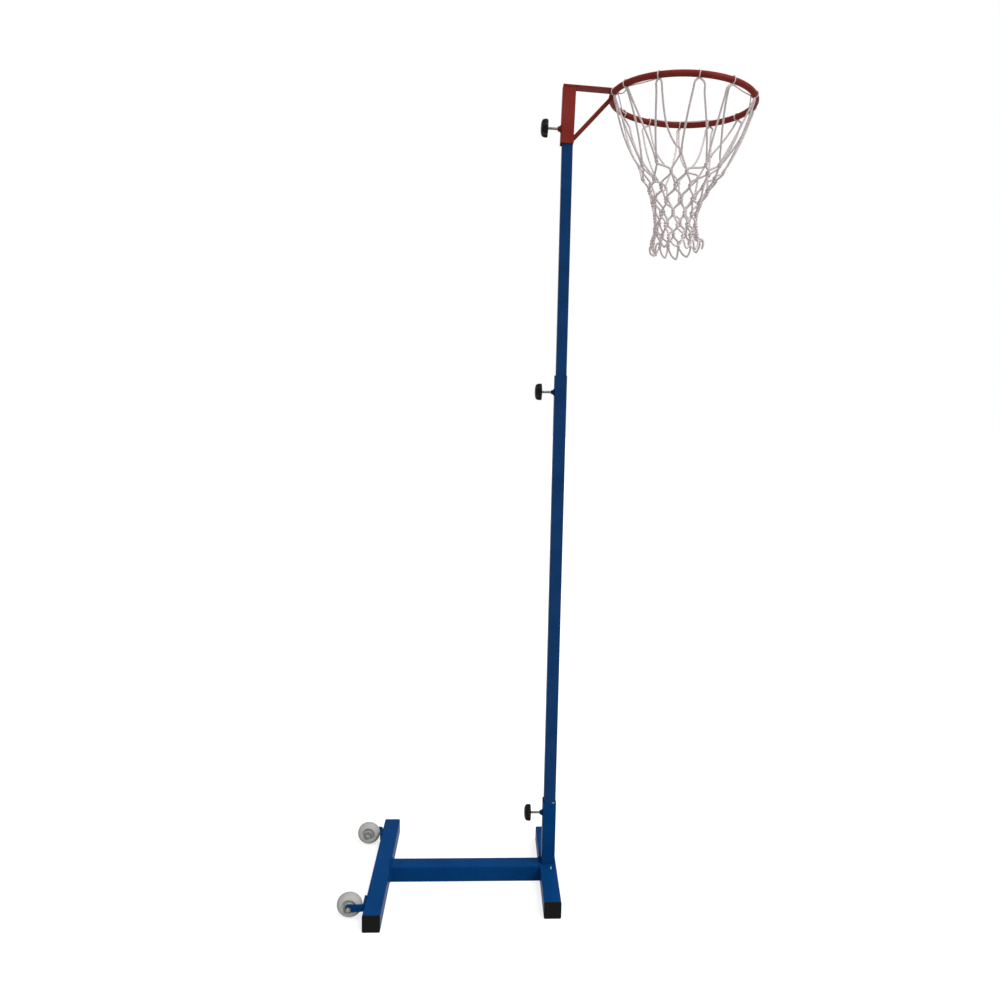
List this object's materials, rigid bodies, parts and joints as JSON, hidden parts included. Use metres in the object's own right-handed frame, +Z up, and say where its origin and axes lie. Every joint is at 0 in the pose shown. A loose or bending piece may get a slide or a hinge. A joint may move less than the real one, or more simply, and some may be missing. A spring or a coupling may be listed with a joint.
{
  "type": "netball post",
  "caption": "Free-standing telescopic netball post: a square-tube mast clamped in an H-shaped wheeled steel base, with a red ring on an arm and a corded net.",
  "frame": {"origin": "on the floor under the axis of the mast socket, in the middle of the front foot's underside", "axes": "+Z up along the mast, +X from the mast to the ring, Y along the two feet"},
  "size_m": [1.145, 0.525, 2.3306],
  "materials": {
    "blue_paint": "gloss enamel paint on steel",
    "red_paint": "gloss enamel paint on steel",
    "cap_plastic": "moulded black polyethylene",
    "knob_plastic": "moulded black nylon",
    "zinc_plate": "zinc plated",
    "wheel_nylon": "moulded off-white nylon",
    "net_cord": "braided synthetic cord"
  },
  "bodies": {
    "base": {"rear_foot_tube": "blue_paint", "front_foot_tube": "blue_paint", "spine_tube": "blue_paint", "rear_foot_cap_near": "cap_plastic", "rear_foot_cap_far": "cap_plastic", "front_foot_cap_near": "cap_plastic", "front_foot_cap_far": "cap_plastic", "mast_socket": "blue_paint", "socket_clamp_nut": "blue_paint", "wheel_bracket_near": "blue_paint", "wheel_bracket_far": "blue_paint", "axle_bush_near": "zinc_plate", "axle_bush_far": "zinc_plate", "axle_washer_near": "zinc_plate", "axle_washer_far": "zinc_plate", "axle_bolt_near": "zinc_plate", "axle_bolt_far": "zinc_plate", "axle_nut_near": "zinc_plate", "axle_nut_far": "zinc_plate"},
    "lower_mast": {"lower_mast_tube": "blue_paint", "mast_clamp_nut": "blue_paint"},
    "upper_mast": {"upper_mast_tube": "blue_paint", "upper_mast_foot_plug": "cap_plastic", "upper_mast_top_plug": "cap_plastic"},
    "head": {"head_sleeve": "red_paint", "head_clamp_nut": "red_paint", "ring_arm": "red_paint", "ring_brace": "red_paint", "ring": "red_paint", "net_panel_1": "net_cord", "net_panel_2": "net_cord", "net_panel_3": "net_cord", "net_panel_4": "net_cord", "net_panel_5": "net_cord", "net_panel_6": "net_cord"},
    "socket_screw": {"socket_clamp_screw": "zinc_plate"},
    "socket_knob": {"socket_clamp_knob": "knob_plastic"},
    "mast_screw": {"mast_clamp_screw": "zinc_plate"},
    "mast_knob": {"mast_clamp_knob": "knob_plastic"},
    "head_screw": {"head_clamp_screw": "zinc_plate"},
    "head_knob": {"head_clamp_knob": "knob_plastic"},
    "near_wheel": {"wheel_near": "wheel_nylon"},
    "far_wheel": {"wheel_far": "wheel_nylon"}
  },
  "joints": [
    {"name": "lower_mast_slide", "type": "slide", "parent": "base", "child": "lower_mast", "axis": [0, 0, 1], "range_m": [0, 0.19]},
    {"name": "upper_mast_slide", "type": "slide", "parent": "lower_mast", "child": "upper_mast", "axis": [0, 0, 1], "range_m": [-0.58, 0.745]},
    {"name": "head_slide", "type": "slide", "parent": "upper_mast", "child": "head", "axis": [0, 0, 1], "range_m": [0, 0.13]},
    {"name": "socket_screw_slide", "type": "slide", "parent": "base", "child": "socket_screw", "axis": [-1, 0, 0], "range_m": [0, 0.0038]},
    {"name": "socket_knob_turn", "type": "hinge", "parent": "socket_screw", "child": "socket_knob", "pos_m": [0, 0, 0.21], "axis": [-1, 0, 0], "range_deg": [0, 1080]},
    {"name": "mast_screw_slide", "type": "slide", "parent": "lower_mast", "child": "mast_screw", "axis": [-1, 0, 0], "range_m": [0, 0.0038]},
    {"name": "mast_knob_turn", "type": "hinge", "parent": "mast_screw", "child": "mast_knob", "pos_m": [0.0007, 0, 1.4883], "axis": [-1, 0, 0], "range_deg": [0, 1080]},
    {"name": "head_screw_slide", "type": "slide", "parent": "head", "child": "head_screw", "axis": [-0.9997, 0, 0.0245], "range_m": [0, 0.0038]},
    {"name": "head_knob_turn", "type": "hinge", "parent": "head_screw", "child": "head_knob", "pos_m": [0.001, 0, 2.2153], "axis": [-0.9997, 0, 0.0245], "range_deg": [0, 1080]},
    {"name": "near_wheel_spin", "type": "hinge", "parent": "base", "child": "near_wheel", "pos_m": [-0.574, -0.193, 0.04], "axis": [0, 1, 0], "continuous": true},
    {"name": "far_wheel_spin", "type": "hinge", "parent": "base", "child": "far_wheel", "pos_m": [-0.574, 0.193, 0.04], "axis": [0, 1, 0], "continuous": true}
  ],
  "couplings": [
    {"joint": "socket_screw_slide", "follows": "socket_knob_turn", "m_per_rad": 0.00019894},
    {"joint": "mast_screw_slide", "follows": "mast_knob_turn", "m_per_rad": 0.00019894},
    {"joint": "head_screw_slide", "follows": "head_knob_turn", "m_per_rad": 0.00019894}
  ]
}
